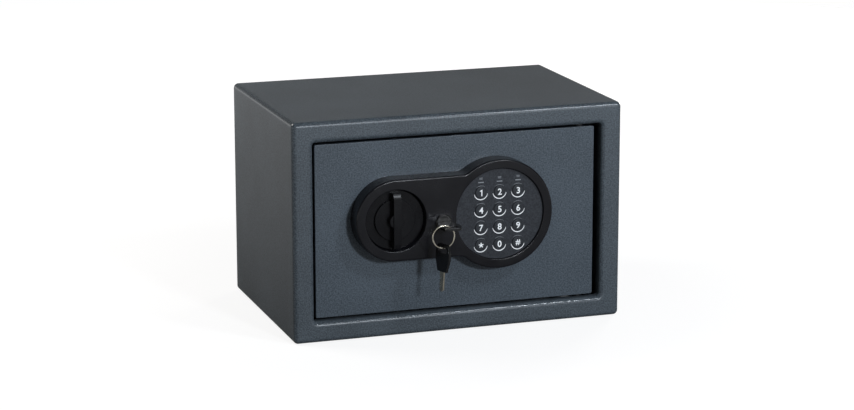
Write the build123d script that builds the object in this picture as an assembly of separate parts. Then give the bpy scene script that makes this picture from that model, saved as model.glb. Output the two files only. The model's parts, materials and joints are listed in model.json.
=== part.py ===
"""Small electronic safe: a folded steel cabinet, a recessed door on hidden pins, a keypad panel,
a knob that draws two bolts, and an override lock with its key, ring and spare key.

Millimetres. X is to the right, Y is to the back and Z is up. The origin is the centre of the underside.
"""
from build123d import *
import math
import os

# Cabinet
cabinet_width = 310.0
cabinet_depth = 200.0
cabinet_height = 200.0
cabinet_wall = 1.5
bend_radius = 4.4
flange_width = 19.0
opening_bend = 4.4
opening_corner = 3.0
lip_depth = 10.0
anchor_radius = 5.0
anchor_spacing = 150.0
base_anchor_y = 30.0
wall_anchor_z = 110.0
mat_thickness = 2.0
mat_gap = 3.5
mat_front_gap = 14.0
mat_hole_radius = 9.0

# Door
door_recess = 5.0
door_thickness = 4.0
door_gap = 2.5
hinge_side_gap = 6.0
door_corner = 1.5
door_edge = 0.5

# Hinge
pivot_inset = 11.0
pivot_behind_face = 10.0
pin_radius = 2.5
pin_head_rim = 1.5
pin_head_height = 2.0
pin_clearance = 0.05
sleeve_wall = 1.65
sleeve_end_gap = 0.2
lug_thickness = 3.0
lug_below_bend = 0.1
lug_width = 24.0
lug_reach = 9.0
bracket_thickness = 3.0
bracket_height = 36.0
bracket_inset = 2.0
bracket_reach = 6.0

# Control panel
panel_height = 18.0
panel_wall = 2.5
panel_edge = 1.5
knob_end_radius = 37.0
knob_x = -64.0
knob_z = 109.0
keypad_x = 33.5
keypad_z = 107.8
keypad_rim = 8.3
waist_blend = 12.0
boss_radius = 3.3
panel_screw_radius = 2.0
panel_screw_hole = 2.2
well_screw_reach = 20.0
waist_screw_x = -12.0
waist_screw_rise = 27.0

# Knob and its well
well_radius = 28.0
well_depth = 10.0
well_wall = 2.0
well_edge = 0.8
dial_gap = 0.6
dial_bottom_gap = 0.4
dial_thickness = 3.6
hub_disc_radius = 18.7
hub_disc_rise = 2.3
bar_width = 6.8
bar_length = 50.0
bar_rise = 10.0
bar_slope_length = 4.8
bar_slope_drop = 2.2
bulge_radius = 6.8
bulge_drop = 1.2
shaft_radius = 4.0
shaft_clearance = 0.05
shaft_in_knob = 14.0
knob_sleeve_wall = 3.0
bush_wall = 1.95
bush_flange_width = 3.0
bush_flange = 1.5
cam_depth = 2.7
cam_thickness = 3.0
cam_hub_wall = 4.0
cam_tip_wall = 2.0
clip_thickness = 1.0
clip_groove = 0.8
clip_width = 3.3

# Keypad
disc_recess = 2.5
disc_thickness = 1.5
disc_gap = 0.2
ledge_width = 1.5
key_ledge_gap = 0.58
collar_height = 2.5
collar_wall = 2.5
key_radius = 5.5
key_hole_gap = 0.2
key_rise = 1.0
key_skirt_width = 1.1
key_skirt_height = 1.6
key_skirt_gap = 0.2
key_travel = 0.8
key_pitch_x = 17.6
key_pitch_z = 16.0
top_row_rise = 20.3
window_width = 3.0
window_height = 1.4
window_row_rise = 32.9
mat_web = 1.0
mat_dome_radius = 4.0
board_thickness = 1.6
board_gap = 1.9
board_margin = 3.5
stake_radius = 1.2
stake_edge = 2.4

# Bolt work
bolt_radius = 8.0
bolt_travel = 14.0
bolt_spread = 60.0
bolt_mid_z = 100.0
bolt_centre_depth = 12.0
bolt_tip_back = 2.0
bolt_length = 41.0
bolt_clearance = 0.1
bolt_pin_radius = 1.5
bolt_pin_inset = 1.0
carriage_thickness = 3.0
carriage_overlap = 12.0
drive_pin_radius = 3.0
drive_slot_clearance = 0.35
stud_radius = 3.0
stud_head_rim = 2.0
stud_head_height = 2.0
stud_play = 0.2
stud_side_play = 0.4
stud_beyond_bolt = 2.0
stud_spread = 30.0
guide_plate = 3.0
guide_margin = 14.0
guide_behind_bolt = 3.0
guide_foot = 12.0
guide_foot_thickness = 2.0
guide_end_gap = 2.0

# Override lock and blocker
lock_x = -20.0
lock_z = 104.2
lock_flange_rim = 1.5
lock_flange = 2.0
lock_wall = 1.45
lock_clearance = 0.1
lock_behind = 14.0
lock_nut_rim = 3.5
lock_nut_height = 4.0
plug_radius = 4.5
plug_clearance = 0.05
plug_stud_radius = 2.5
arm_half_width = 2.5
arm_thickness = 2.0
arm_hub_radius = 5.0
plunger_offset = 15.6
plunger_radius = 3.5
plunger_clearance = 0.2
collar_rim = 2.5
collar_thickness = 3.0
collar_lift_gap = 0.3
spring_room = 7.2
coil_length = 26.0
coil_radius = 9.0
frame_plate = 2.0
terminal_reach = 4.0
tooth_below_lock = 11.5
tooth_side_gap = 0.5
tooth_height = 5.5
tooth_top_gap = 1.0
tongue_height = 10.0

# Keys and ring
head_width = 19.0
head_length = 25.0
head_thickness = 2.4
head_neck_width = 12.0
head_slot_width = 12.0
head_slot_height = 5.0
head_end_strip = 3.0
blade_width = 5.6
blade_thickness = 1.6
blade_length = 22.0
keyway_gap = 0.15
ring_mean_radius = 10.1
ring_wire_radius = 0.55
ring_play = 0.13
spare_yaw = 19.0
spare_lean = 3.0
spare_blade_length = 18.0
ring_slack = 0.3

# Inner cover, power and reset
cover_wall = 2.0
cover_depth = 41.0
cover_left_inset = 7.0
cover_right_inset = 30.0
cover_end_inset = 4.0
cover_corner = 4.0
standoff_radius = 4.0
standoff_inset = 14.0
cover_screw_radius = 2.0
cell_radius = 7.2
cell_length = 49.0
cell_gap = 0.3
tray_wall = 1.5
tray_x = 40.0
tray_z = 103.0
hatch_thickness = 1.8
hatch_margin = 6.0
hatch_gap = 0.2
rail_width = 2.0
reset_x = -20.0
reset_z = 150.0
reset_radius = 3.0
reset_gap = 0.2
reset_travel = 1.5
reset_rise = 3.0
reset_skirt = 1.5
reset_skirt_height = 2.5
grommet_x = 35.5
grommet_z = 84.0
grommet_radius = 7.0
grommet_bore = 5.2
lead_radius = 0.9

# Places and radii that follow from the sizes above
pin_head_radius = pin_radius + pin_head_rim
sleeve_radius = pin_radius + pin_clearance + sleeve_wall
knob_sleeve_radius = shaft_radius + knob_sleeve_wall
bush_radius = shaft_radius + shaft_clearance + bush_wall
bush_flange_radius = bush_radius + bush_flange_width
cam_hub_radius = shaft_radius + cam_hub_wall
cam_tip_radius = drive_pin_radius + cam_tip_wall
key_skirt_radius = key_radius + key_skirt_width
far_key = math.hypot(key_pitch_x, 3 * key_pitch_z - top_row_rise)
disc_radius = far_key + key_skirt_radius + key_ledge_gap + ledge_width
keypad_end_radius = disc_radius + keypad_rim
board_radius = disc_radius + board_margin
stud_head_radius = stud_radius + stud_head_rim
lock_radius = plug_radius + plug_clearance + lock_wall
lock_flange_radius = lock_radius + lock_flange_rim
lock_nut_radius = lock_radius + lock_nut_rim
plunger_x = lock_x - plunger_offset
front = -cabinet_depth / 2
back = cabinet_depth / 2
side = cabinet_width / 2
opening_width = cabinet_width - 2 * flange_width
opening_x = opening_width / 2
opening_low = flange_width
opening_high = cabinet_height - flange_width
opening_mid = cabinet_height / 2
door_left = -opening_x + door_gap
door_right = opening_x - hinge_side_gap
door_low = opening_low + door_gap
door_high = opening_high - door_gap
door_front = front + door_recess
door_back = door_front + door_thickness
pivot_x = door_right - pivot_inset
pivot_y = door_front + pivot_behind_face
disc_top = panel_height - disc_recess
disc_bottom = disc_top - disc_thickness
collar_bottom = disc_bottom - collar_height
board_top = collar_bottom - board_gap
board_bottom = board_top - board_thickness
well_floor = panel_height - well_depth
dial_low = well_floor + dial_bottom_gap
dial_high = dial_low + dial_thickness
bolt_tip_x = door_left + bolt_tip_back
bolt_end_x = bolt_tip_x + bolt_length
bolt_zs = [bolt_mid_z - bolt_spread / 2, bolt_mid_z + bolt_spread / 2]
drive_radius = bolt_travel
drive_angle = math.radians(30)
drive_x = knob_x + drive_radius * math.sin(drive_angle)
drive_z = knob_z + drive_radius * math.cos(drive_angle)
carriage_near = bolt_centre_depth - carriage_thickness / 2
carriage_far = bolt_centre_depth + carriage_thickness / 2
carriage_left = bolt_end_x - carriage_overlap
guide_x = carriage_left - bolt_travel - guide_end_gap - guide_plate
guide_depth = bolt_centre_depth + bolt_radius + guide_behind_bolt
cover_left = door_left + cover_left_inset
cover_right = door_right - cover_right_inset
cover_low = door_low + cover_end_inset
cover_high = door_high - cover_end_inset
cover_inside = cover_depth - cover_wall
face_height = panel_height + lock_flange
bow_near = face_height + 1.0
bow_far = bow_near + head_length
ring_height = bow_far - head_end_strip - head_slot_height / 2
strip_half = (head_width - head_slot_width) / 4
ring_pivot_x = lock_x - head_width / 2 + strip_half
strip_reach = math.hypot(strip_half, head_thickness / 2)
ring_hang = ring_mean_radius - ring_wire_radius - strip_reach - ring_play
ring_z = lock_z - ring_hang
wire_z = ring_z - ring_mean_radius
arm_near = bolt_centre_depth + plunger_radius + plunger_clearance
arm_far = arm_near + arm_thickness
collar_low = lock_z + arm_half_width + collar_lift_gap
collar_high = collar_low + collar_thickness
collar_radius = plunger_radius + collar_rim
tooth_left = plunger_x + plunger_radius + tooth_side_gap
tooth_right = tooth_left + bolt_travel - 2 * plunger_radius - 2 * tooth_side_gap
tooth_top = lock_z - tooth_below_lock
tongue_top = tooth_top - tooth_height
plunger_tip = tooth_top + tooth_top_gap
coil_low = collar_high + spring_room + frame_plate
coil_high = coil_low + coil_length


def block(x0, x1, y0, y1, z0, z1):
    """A box between two corners."""
    middle = Pos((x0 + x1) / 2, (y0 + y1) / 2, (z0 + z1) / 2)
    return middle * Box(x1 - x0, y1 - y0, z1 - z0)


def door_plane(height):
    """A plane parallel to the door, this far in front of its face: right is X and up is Z."""
    return Plane(origin=(0, door_front - height, 0), x_dir=(1, 0, 0), z_dir=(0, -1, 0))


def raised(shape, low, high):
    """A flat shape as a solid between two heights in front of the door's face."""
    return extrude(door_plane(low) * shape, amount=high - low)


def sunk(shape, near, far):
    """A flat shape as a solid between two depths behind the door's back."""
    return raised(shape, -door_thickness - far, -door_thickness - near)


def disc(x, z, radius):
    """A circle drawn on the door."""
    return Pos(x, z) * Circle(radius)


def plate(x0, x1, z0, z1):
    """A rectangle drawn on the door."""
    return Pos((x0 + x1) / 2, (z0 + z1) / 2) * Rectangle(x1 - x0, z1 - z0)


def rounded(x0, x1, z0, z1, radius):
    """A rectangle with round corners drawn on the door."""
    return Pos((x0 + x1) / 2, (z0 + z1) / 2) * RectangleRounded(x1 - x0, z1 - z0, radius)


def slot(x0, x1, z0, z1):
    """A slot with round ends drawn on the door, along its longer side."""
    radius = min(x1 - x0, z1 - z0) / 2
    return rounded(x0, x1, z0, z1, radius * 0.999)


def post(x, y, radius, z0, z1):
    """An upright cylinder."""
    return Pos(x, y, (z0 + z1) / 2) * Cylinder(radius, z1 - z0)


def bar_along_x(y, z, radius, x0, x1):
    """A cylinder along X."""
    return Pos((x0 + x1) / 2, y, z) * Rot(0, 90, 0) * Cylinder(radius, x1 - x0)


def front_edges(solid):
    """The edges of the face that is furthest to the front."""
    return solid.faces().sort_by(Axis.Y)[0].edges()


# Cabinet


def body_wrap():
    """The folded sheet: four walls, the front flange and the lip that returns round the opening."""
    outer = Pos(0, 0, cabinet_height / 2) * Box(cabinet_width, cabinet_depth, cabinet_height)
    outer = fillet(outer.edges().filter_by(Axis.Y) + front_edges(outer), bend_radius)
    room = block(
        -side + cabinet_wall,
        side - cabinet_wall,
        front + cabinet_wall,
        back + cabinet_wall,
        cabinet_wall,
        cabinet_height - cabinet_wall,
    )
    inside = bend_radius - cabinet_wall
    room = fillet(room.edges().filter_by(Axis.Y) + front_edges(room), inside)
    hole = rounded(-opening_x, opening_x, opening_low, opening_high, opening_corner)
    rim = rounded(
        -opening_x - cabinet_wall,
        opening_x + cabinet_wall,
        opening_low - cabinet_wall,
        opening_high + cabinet_wall,
        opening_corner + cabinet_wall,
    )
    low = door_recess - lip_depth
    wrap = outer - room + raised(rim, low, door_recess - cabinet_wall)
    flange_back = front + cabinet_wall
    behind = wrap.faces().filter_by_position(Axis.Y, flange_back - 0.01, flange_back + 0.01)
    inner_bend = behind.sort_by(SortBy.AREA)[-1].inner_wires()[0].edges()
    wrap = fillet(inner_bend, opening_bend - cabinet_wall)
    wrap -= raised(hole, low - 1, door_recess + 1)
    mouth = wrap.faces().sort_by(Axis.Y)[0].inner_wires()[0].edges()
    wrap = fillet(mouth, opening_bend)
    for x in (-anchor_spacing / 2, anchor_spacing / 2):
        wrap -= post(x, base_anchor_y, anchor_radius, -1, cabinet_wall + 1)
    return wrap


def back_panel():
    """The rear wall, welded inside the wrap, with two holes for fixing to a wall."""
    wide = side - cabinet_wall
    top = cabinet_height - cabinet_wall
    shape = rounded(-wide, wide, cabinet_wall, top, bend_radius - cabinet_wall)
    for x in (-anchor_spacing / 2, anchor_spacing / 2):
        shape -= disc(x, wall_anchor_z, anchor_radius)
    rear = Plane(origin=(0, back, 0), x_dir=(1, 0, 0), z_dir=(0, -1, 0))
    return extrude(rear * shape, amount=cabinet_wall)


def floor_mat():
    """The loose mat on the floor, with holes over the floor anchors."""
    wide = side - cabinet_wall - mat_gap
    low = cabinet_wall
    mat = block(-wide, wide, front + mat_front_gap, back - cabinet_wall - mat_gap, low, low + mat_thickness)
    mat = fillet(mat.edges().filter_by(Axis.Z), mat_gap)
    for x in (-anchor_spacing / 2, anchor_spacing / 2):
        mat -= post(x, base_anchor_y, mat_hole_radius, 0, low + mat_thickness + 1)
    return mat


# Hinge, built at the bottom and mirrored about the opening's middle for the top


def top_and_bottom(solid):
    """The solid and its mirror image at the other end of the door."""
    return Compound(children=[solid, mirror(solid, about=Plane.XY.offset(opening_mid))])


lug_top = opening_low - opening_bend - lug_below_bend
lug_low = lug_top - lug_thickness
bracket_low = door_low + bracket_inset
bracket_top = bracket_low + bracket_thickness


def hinge_lugs():
    """Plates welded behind the front flange that hold the pins."""
    flange_back = front + cabinet_wall
    lug = block(
        pivot_x - lug_width / 2,
        pivot_x + lug_width / 2,
        flange_back,
        pivot_y + lug_reach,
        lug_low,
        lug_top,
    )
    lug = fillet(lug.edges().filter_by(Axis.Z).sort_by(Axis.Y)[2:], lug_reach / 2)
    lug -= post(pivot_x, pivot_y, pin_radius, lug_low - 1, lug_top + 1)
    return top_and_bottom(lug)


def hinge_pins():
    """Headed pins, pressed into the lugs from outside."""
    pin = post(pivot_x, pivot_y, pin_radius, lug_low, bracket_top + 2)
    pin = chamfer(pin.edges().sort_by(Axis.Z)[-1], pin_radius / 3)
    pin += post(pivot_x, pivot_y, pin_head_radius, lug_low - pin_head_height, lug_low)
    return top_and_bottom(pin)


def hinge_sleeves():
    """Spacer sleeves that keep the door at its height on the pins."""
    ring = Circle(sleeve_radius) - Circle(pin_radius + pin_clearance)
    low = lug_top + sleeve_end_gap
    return top_and_bottom(extrude(Plane((pivot_x, pivot_y, low)) * ring, amount=bracket_low - low))


def hinge_brackets():
    """Angle brackets on the back of the door that turn on the pins."""
    left = pivot_x - lug_width / 2
    right = pivot_x + lug_width / 2 - 1
    leg_top = bracket_low + bracket_height
    leg = block(left, right, door_back, door_back + bracket_thickness, bracket_low, leg_top)
    foot = block(left, right, door_back, pivot_y + bracket_reach, bracket_low, bracket_top)
    foot = fillet(foot.edges().filter_by(Axis.Z).sort_by(Axis.Y)[2:], bracket_reach / 2)
    foot -= post(pivot_x, pivot_y, pin_radius + pin_clearance, bracket_low - 1, bracket_top + 1)
    return top_and_bottom(leg + foot)


# Door

panel_screws = [
    (knob_x - well_screw_reach, bolt_mid_z),
    (waist_screw_x, knob_z + waist_screw_rise),
    (waist_screw_x, knob_z - waist_screw_rise),
    (keypad_x + disc_radius - ledge_width + boss_radius, keypad_z),
]


def door_plate():
    """The flat steel door."""
    door = raised(rounded(door_left, door_right, door_low, door_high, door_corner), -door_thickness, 0)
    door = fillet(front_edges(door), door_edge)
    holes = disc(knob_x, knob_z, bush_radius) + disc(lock_x, lock_z, lock_radius + lock_clearance)
    holes += disc(grommet_x, grommet_z, grommet_radius)
    for x, z in panel_screws:
        holes += disc(x, z, panel_screw_hole)
    return door - raised(holes, -door_thickness - 1, 1)


def bolt_guide():
    """The angle that carries the bolts near the door's free edge."""
    low = bolt_zs[0] - guide_margin
    high = bolt_zs[1] + guide_margin
    wall = sunk(plate(guide_x, guide_x + guide_plate, low, high), 0, guide_depth)
    foot = sunk(plate(guide_x + guide_plate, guide_x + guide_foot, low, high), 0, guide_foot_thickness)
    guide = wall + foot
    for z in bolt_zs:
        y = door_back + bolt_centre_depth
        guide -= bar_along_x(y, z, bolt_radius + bolt_clearance, guide_x - 1, guide_x + guide_plate + 1)
    return guide


stud_x = bolt_end_x + stud_beyond_bolt
stud_zs = [bolt_mid_z - stud_spread / 2, bolt_mid_z + stud_spread / 2]


def guide_studs():
    """Shoulder studs that the carriage slides on."""
    studs = []
    head_near = carriage_far + stud_side_play
    head_far = head_near + stud_head_height
    for z in stud_zs:
        stud = sunk(disc(stud_x, z, stud_radius), 0, head_far)
        stud += sunk(disc(stud_x, z, stud_head_radius), 0, carriage_near - stud_side_play)
        stud += sunk(disc(stud_x, z, stud_head_radius), head_near, head_far)
        studs.append(stud)
    return Compound(children=studs)


# Control panel


def panel_outline():
    """A round end for the knob, a larger one for the keypad, and a straight waist between them."""
    shape = disc(knob_x, knob_z, knob_end_radius) + disc(keypad_x, keypad_z, keypad_end_radius)
    shape += plate(knob_x, keypad_x, knob_z - knob_end_radius, knob_z + knob_end_radius)
    corners = shape.vertices().filter_by(lambda v: v.X > knob_x + 1)
    return fillet(corners, waist_blend)


def board_stakes():
    """Where the circuit board is held under the keypad collar."""
    reach = board_radius - stake_edge
    for degrees in (45, 135, 225, 315):
        angle = math.radians(degrees)
        yield keypad_x + reach * math.cos(angle), keypad_z + reach * math.sin(angle)


def escutcheon():
    """The moulded panel: a hollow shell with a well for the knob and a pocket for the keypad."""
    outline = panel_outline()
    shell = raised(outline, 0, panel_height)
    shell = fillet(front_edges(shell), panel_edge)
    shell -= raised(offset(outline, -panel_wall), -1, panel_height - panel_wall)
    shell += raised(disc(knob_x, knob_z, well_radius + well_wall), well_floor - panel_wall, panel_height - 1)
    shell -= raised(disc(knob_x, knob_z, well_radius), well_floor, panel_height + 1)
    shell -= raised(disc(knob_x, knob_z, knob_sleeve_radius + dial_gap), 0, panel_height)
    collar = disc(keypad_x, keypad_z, disc_radius + collar_wall)
    shell += raised(collar, collar_bottom, panel_height - 1)
    shell -= raised(disc(keypad_x, keypad_z, disc_radius), disc_bottom, panel_height + 1)
    shell -= raised(disc(keypad_x, keypad_z, disc_radius - ledge_width), 0, panel_height)
    for x, z in panel_screws:
        top = well_floor - panel_wall if x < knob_x else panel_height - panel_wall
        top = collar_bottom if x > keypad_x else top
        shell += raised(disc(x, z, boss_radius), 0, top)
    for x, z in panel_screws:
        shell -= raised(disc(x, z, panel_screw_radius), -1, well_floor - panel_wall)
    for x, z in board_stakes():
        shell += raised(disc(x, z, 2 * stake_radius), board_top, collar_bottom)
        shell += raised(disc(x, z, stake_radius), board_bottom - 0.8, board_top)
    shell -= raised(disc(lock_x, lock_z, lock_radius + lock_clearance), 0, panel_height + 1)
    rims = front_edges(shell).filter_by(GeomType.CIRCLE)
    rims = rims.filter_by(lambda e: min(abs(e.radius - r) for r in (well_radius, disc_radius)) < 0.01)
    return fillet(rims, well_edge)


def panel_fixings():
    """Screws that hold the panel, put in from behind the door."""
    screws = []
    for x, z in panel_screws:
        screw = sunk(disc(x, z, panel_screw_radius), -door_thickness - 5.0, 0)
        screw += sunk(disc(x, z, 1.7 * panel_screw_radius), 0, 2.2)
        screws.append(screw)
    return Compound(children=screws)


def key_places():
    """Each key's node name and its place, row by row from the top left."""
    names = ["1", "2", "3", "4", "5", "6", "7", "8", "9", "star", "0", "hash"]
    for number, name in enumerate(names):
        x = keypad_x + (number % 3 - 1) * key_pitch_x
        z = keypad_z + top_row_rise - (number // 3) * key_pitch_z
        yield "key_" + name, x, z


def window_places():
    """The three indicator windows, one over each column of keys."""
    for column in (-1, 0, 1):
        yield keypad_x + column * key_pitch_x, keypad_z + window_row_rise


def keypad_faceplate():
    """The round plate that the keys come through."""
    shape = disc(keypad_x, keypad_z, disc_radius - disc_gap)
    for _, x, z in key_places():
        shape -= disc(x, z, key_radius + key_hole_gap)
    for x, z in window_places():
        shape -= Pos(x, z) * Rectangle(window_width, window_height)
    return raised(shape, disc_bottom, disc_top)


def indicator_windows():
    """Clear light pipes over the board's lamps."""
    pipes = []
    for x, z in window_places():
        pipe = raised(Pos(x, z) * Rectangle(window_width, window_height), disc_bottom, disc_top)
        pipe += raised(disc(x, z, 1.5), board_top + mat_web + 0.2, disc_bottom)
        pipes.append(pipe)
    return Compound(children=pipes)


def keypad_key(x, z):
    """One key: a low dome with a skirt that keeps it behind the faceplate."""
    skirt_top = disc_bottom - key_skirt_gap
    cap = raised(disc(x, z, key_radius), skirt_top - key_skirt_height, disc_top + key_rise)
    cap = fillet(cap.edges().sort_by(Axis.Y)[0], key_rise * 0.95)
    return cap + raised(disc(x, z, key_skirt_radius), skirt_top - key_skirt_height, skirt_top)


def keypad_mat():
    """The elastomer sheet with a contact dome under each key."""
    mat_radius = disc_radius - ledge_width - disc_gap
    mat = raised(disc(keypad_x, keypad_z, mat_radius), board_top, board_top + mat_web)
    dome_top = disc_bottom - key_skirt_gap - key_skirt_height - key_travel - 0.1
    for _, x, z in key_places():
        mat += raised(disc(x, z, mat_dome_radius), board_top + mat_web, dome_top)
    for x, z in window_places():
        mat -= raised(disc(x, z, 1.7), board_top - 1, board_top + mat_web + 1)
    return mat


def keypad_board():
    """The circuit board, cut away round the panel's right screw boss."""
    shape = disc(keypad_x, keypad_z, board_radius)
    shape -= disc(*panel_screws[3], boss_radius + 0.7)
    for x, z in board_stakes():
        shape -= disc(x, z, stake_radius)
    return raised(shape, board_bottom, board_top)


def board_components():
    """The buzzer, the lead connector and the controller on the back of the board."""
    buzzer = raised(disc(keypad_x + 18, keypad_z + 16, 6), board_bottom - 5, board_bottom)
    connector = raised(
        plate(grommet_x - 6, grommet_x + 6, grommet_z - 4, grommet_z + 4), board_bottom - 4, board_bottom
    )
    chip_shape = plate(keypad_x - 22, keypad_x - 8, keypad_z + 8, keypad_z + 18)
    chip = raised(chip_shape, board_bottom - 2, board_bottom)
    return Compound(children=[buzzer, connector, chip])


# Knob and bolt work


def knob():
    """The dial with its raised disc, a straight grip bar and a sleeve for the shaft."""
    dial = raised(disc(knob_x, knob_z, well_radius - dial_gap), dial_low, dial_high)
    dial = fillet(front_edges(dial), 0.8)
    hub = raised(disc(knob_x, knob_z, hub_disc_radius), dial_high - 1, dial_high + hub_disc_rise)
    hub = fillet(front_edges(hub), 0.5)
    top = dial_high + bar_rise
    half = bar_length / 2
    profile = Polyline(
        (dial_low + 1, -half),
        (top - bar_slope_drop, -half),
        (top, -half + bar_slope_length),
        (top, half - bar_slope_length),
        (top - bar_slope_drop, half),
        (dial_low + 1, half),
        close=True,
    )
    side_plane = Plane(
        origin=(knob_x - bar_width / 2, door_front, knob_z), x_dir=(0, -1, 0), z_dir=(1, 0, 0)
    )
    grip = extrude(side_plane * make_face(profile), amount=bar_width)
    if grip.bounding_box().min.X < knob_x - bar_width:
        grip = Pos(bar_width, 0, 0) * grip
    bulge = raised(disc(knob_x, knob_z, bulge_radius), dial_high, top - bulge_drop)
    bulge = fillet(front_edges(bulge), 0.6)
    sleeve = raised(disc(knob_x, knob_z, knob_sleeve_radius), bush_flange + 0.5, dial_low)
    bore = raised(disc(knob_x, knob_z, shaft_radius), 0, shaft_in_knob)
    return dial + hub + grip + bulge + sleeve - bore


def knob_bush():
    """The flanged bearing in the door."""
    bush = raised(disc(knob_x, knob_z, bush_flange_radius), 0, bush_flange)
    bush += raised(disc(knob_x, knob_z, bush_radius), -door_thickness - 1.5, 0)
    bore = disc(knob_x, knob_z, shaft_radius + shaft_clearance)
    return bush - raised(bore, -door_thickness - 2, bush_flange + 1)


clip_near = cam_depth + cam_thickness


def knob_shaft():
    """The shaft from the knob to the cam, with a groove for its clip."""
    low = -door_thickness - clip_near - clip_thickness - 1
    shaft = raised(disc(knob_x, knob_z, shaft_radius), low, shaft_in_knob)
    groove = disc(knob_x, knob_z, shaft_radius + 1) - disc(knob_x, knob_z, shaft_radius - clip_groove)
    return shaft - sunk(groove, clip_near, clip_near + clip_thickness)


def knob_clip():
    """The ring that keeps the cam on the shaft, open on one side."""
    root = shaft_radius - clip_groove
    ring = disc(knob_x, knob_z, root + clip_width) - disc(knob_x, knob_z, root)
    ring -= plate(knob_x - root / 2, knob_x + root / 2, knob_z - root - clip_width, knob_z)
    return sunk(ring, clip_near, clip_near + clip_thickness)


def knob_cam():
    """The crank whose pin drives the bolt carriage."""
    along = Line((knob_x, knob_z), (drive_x, drive_z))
    arm = disc(knob_x, knob_z, cam_hub_radius) + disc(drive_x, drive_z, cam_tip_radius)
    middle = along @ 0.5
    turn = 90 - math.degrees(drive_angle)
    arm += Pos(middle.X, middle.Y) * Rot(0, 0, turn) * Rectangle(drive_radius, 2 * cam_tip_radius)
    arm -= disc(knob_x, knob_z, shaft_radius)
    cam = sunk(arm, cam_depth, cam_depth + cam_thickness)
    return cam + sunk(disc(drive_x, drive_z, drive_pin_radius), cam_depth + cam_thickness, carriage_far + 1)


def carriage_plate():
    """The sliding plate: bolt tongues on the left, the drive slot, and a tooth for the blocker."""
    low, high = bolt_zs
    reach = bolt_radius + 1
    shape = plate(carriage_left, knob_x - 2, low - reach, high + reach)
    shape += plate(knob_x - 2, drive_x + 9, tongue_top - tongue_height, high)
    shape += plate(drive_x, tooth_right, tongue_top - tongue_height, tongue_top)
    shape += plate(tooth_left, tooth_right, tongue_top - 1, tooth_top)
    wide = drive_pin_radius + drive_slot_clearance
    shape -= slot(drive_x - wide, drive_x + wide, drive_z - wide - 1, knob_z + drive_radius + wide + 1)
    wide = stud_radius + stud_play
    for z in stud_zs:
        shape -= slot(stud_x - wide, stud_x + bolt_travel + wide, z - wide, z + wide)
    for z in bolt_zs:
        shape -= disc(bolt_end_x - carriage_overlap / 2, z, bolt_pin_radius)
    return sunk(shape, carriage_near, carriage_far)


def locking_bolts():
    """Two round bolts, slotted for the carriage."""
    bolts = []
    y = door_back + bolt_centre_depth
    for z in bolt_zs:
        bolt = bar_along_x(y, z, bolt_radius, bolt_tip_x, bolt_end_x)
        bolt = chamfer(bolt.edges().sort_by(Axis.X)[0], 1.0)
        reach = bolt_radius + 1
        bolt -= sunk(plate(carriage_left, bolt_end_x + 1, z - reach, z + reach), carriage_near, carriage_far)
        bolt -= sunk(disc(bolt_end_x - carriage_overlap / 2, z, bolt_pin_radius), 0, guide_depth)
        bolts.append(bolt)
    return Compound(children=bolts)


def bolt_pins():
    """Pins that hold the bolts to the carriage."""
    reach = bolt_radius - bolt_pin_inset
    x = bolt_end_x - carriage_overlap / 2
    near = bolt_centre_depth - reach
    far = bolt_centre_depth + reach
    return Compound(children=[sunk(disc(x, z, bolt_pin_radius), near, far) for z in bolt_zs])


# Override lock and electric blocker


def lock_cylinder():
    """The lock's body, with a flange on the panel."""
    body = raised(disc(lock_x, lock_z, lock_radius), -door_thickness - lock_behind, panel_height)
    flange = raised(disc(lock_x, lock_z, lock_flange_radius), panel_height, face_height)
    flange = fillet(front_edges(flange), 0.7)
    bore = disc(lock_x, lock_z, plug_radius + plug_clearance)
    return body + flange - raised(bore, -door_thickness - lock_behind - 1, face_height + 1)


def lock_nut():
    """The nut behind the door."""
    ring = Pos(lock_x, lock_z) * RegularPolygon(lock_nut_radius, 6) - disc(lock_x, lock_z, lock_radius)
    return sunk(ring, 0, lock_nut_height)


def lock_plug():
    """The part that turns with the key."""
    plug = raised(disc(lock_x, lock_z, plug_radius), -door_thickness - arm_near, face_height)
    plug += sunk(disc(lock_x, lock_z, plug_stud_radius), arm_near, arm_far + 1)
    wide = blade_width / 2 + keyway_gap
    tall = blade_thickness / 2 + keyway_gap
    keyway = plate(lock_x - wide, lock_x + wide, lock_z - tall, lock_z + tall)
    return plug - raised(keyway, face_height - blade_length - 1, face_height + 1)


def lock_arm():
    """The arm that holds the blocker up while the key is turned."""
    shape = disc(lock_x, lock_z, arm_hub_radius)
    left = plunger_x - plunger_radius
    shape += plate(left, lock_x, lock_z - arm_half_width, lock_z + arm_half_width)
    return sunk(shape - disc(lock_x, lock_z, plug_stud_radius), arm_near, arm_far)


def blocker_plunger():
    """The solenoid's plunger, with the collar that the lock arm lifts."""
    y = door_back + bolt_centre_depth
    plunger = post(plunger_x, y, plunger_radius, plunger_tip, coil_high - 9)
    plunger = chamfer(plunger.edges().sort_by(Axis.Z)[0], 0.6)
    return plunger + post(plunger_x, y, collar_radius, collar_low, collar_high)


def blocker_spring():
    """The return spring, as the sleeve that it fills when pressed together."""
    ring = Circle(collar_radius - 0.6) - Circle(plunger_radius + 0.4)
    low = collar_high
    plane = Plane((plunger_x, door_back + bolt_centre_depth, low))
    return extrude(plane * ring, amount=coil_low - frame_plate - 0.2 - low)


def solenoid_frame():
    """The bent steel frame round the coil."""
    half = coil_radius + 2
    depth = bolt_centre_depth + half
    left = plunger_x - half
    right = plunger_x + half
    web = sunk(plate(left, right, coil_low - frame_plate, coil_high + frame_plate), 0, frame_plate)
    low = sunk(plate(left, right, coil_low - frame_plate, coil_low), 0, depth)
    high = sunk(plate(left, right, coil_high, coil_high + frame_plate), 0, depth)
    bore_radius = plunger_radius + plunger_clearance
    y = door_back + bolt_centre_depth
    return web + low + high - post(plunger_x, y, bore_radius, collar_high, coil_high + 9)


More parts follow.
